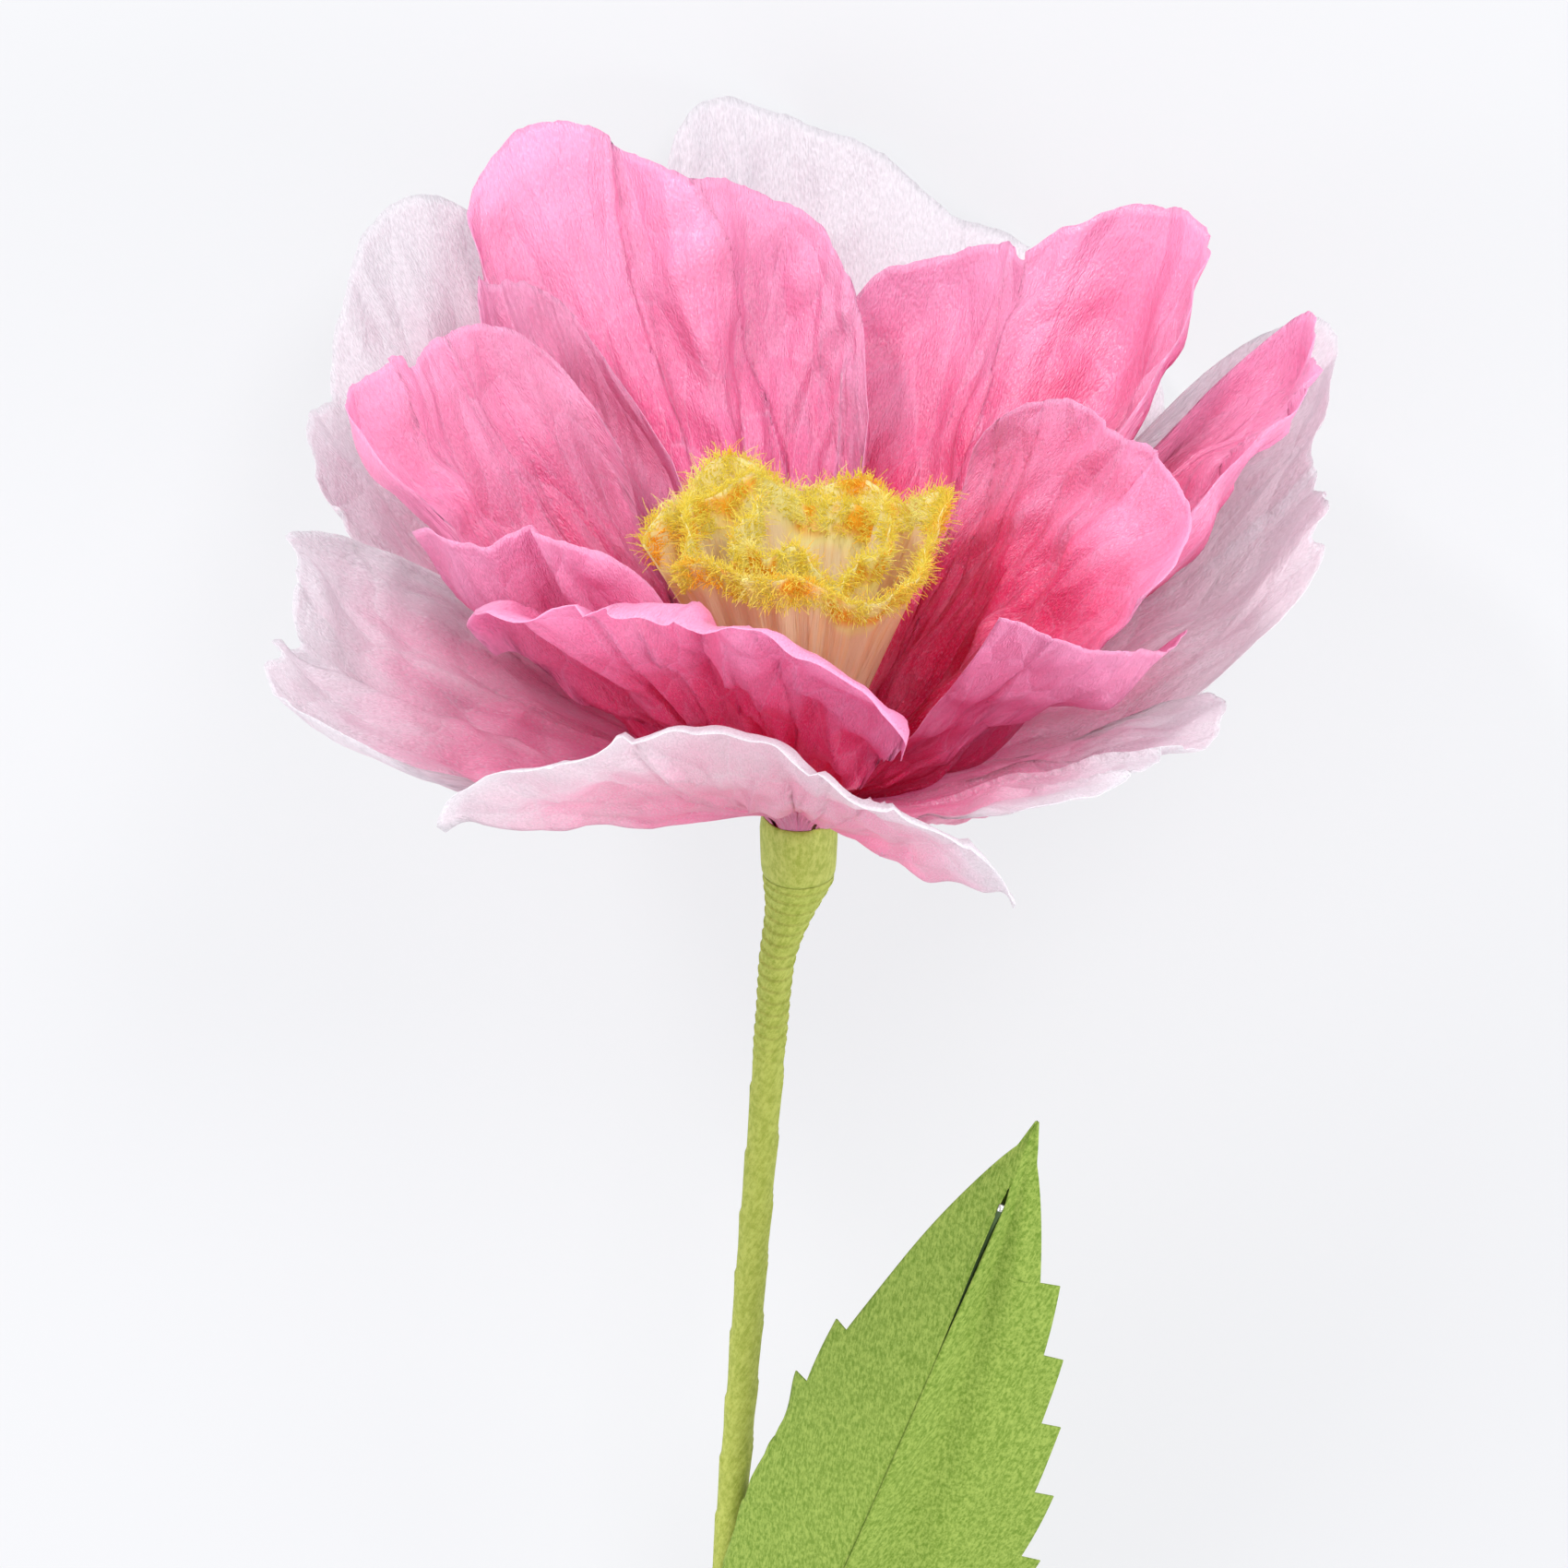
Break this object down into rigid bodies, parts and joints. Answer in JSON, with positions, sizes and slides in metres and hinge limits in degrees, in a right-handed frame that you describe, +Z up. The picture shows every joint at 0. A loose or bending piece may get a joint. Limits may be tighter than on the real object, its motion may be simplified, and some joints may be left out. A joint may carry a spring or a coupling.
{
  "type": "paper flower",
  "caption": "Large open bloom of gathered tissue-paper petals round a fringed crepe roll, on a taped wire stem with a toothed paper leaf; lies on its back.",
  "frame": {"origin": "middle of the underside of the object's box as it lies", "axes": "+Y from the stem's cut end toward the head, +Z up, the flower's front facing up and the leaf above the stem"},
  "size_m": [0.1396, 0.4254, 0.1415],
  "materials": {
    "petal_pink_left": "matte tissue",
    "petal_pink_back_inner": "matte tissue",
    "petal_pink_front_left": "matte tissue",
    "petal_pink_right": "matte tissue",
    "petal_pink_back_left": "matte tissue",
    "petal_pink_back_right": "matte tissue",
    "petal_pink_front": "matte tissue",
    "petal_pink_front_right": "matte tissue",
    "petal_pink_right_outer": "matte tissue",
    "petal_pale_back": "matte tissue",
    "petal_pale_left_back": "matte tissue",
    "petal_pale_left_front": "matte tissue",
    "petal_pale_front": "matte tissue",
    "petal_pale_right_front": "matte tissue",
    "petal_pale_right_back": "matte tissue",
    "stamen_roll": "crepe",
    "calyx_band": "crepe tape",
    "stem_tape": "crepe tape",
    "leaf_blade": "crepe",
    "leaf_tie": "crepe tape",
    "stem_wire": "drawn wire",
    "leaf_wire": "drawn wire"
  },
  "bodies": {
    "root": {"petal_pink_left": "petal_pink_left", "petal_pink_back_inner": "petal_pink_back_inner", "petal_pink_front_left": "petal_pink_front_left", "petal_pink_right": "petal_pink_right", "petal_pink_back_left": "petal_pink_back_left", "petal_pink_back_right": "petal_pink_back_right", "petal_pink_front": "petal_pink_front", "petal_pink_front_right": "petal_pink_front_right", "petal_pink_right_outer": "petal_pink_right_outer", "petal_pale_back": "petal_pale_back", "petal_pale_left_back": "petal_pale_left_back", "petal_pale_left_front": "petal_pale_left_front", "petal_pale_front": "petal_pale_front", "petal_pale_right_front": "petal_pale_right_front", "petal_pale_right_back": "petal_pale_right_back", "stamen_roll": "stamen_roll", "calyx_band": "calyx_band", "stem_tape": "stem_tape", "leaf_blade": "leaf_blade", "leaf_tie": "leaf_tie", "stem_wire": "stem_wire", "leaf_wire": "leaf_wire"}
  },
  "joints": []
}
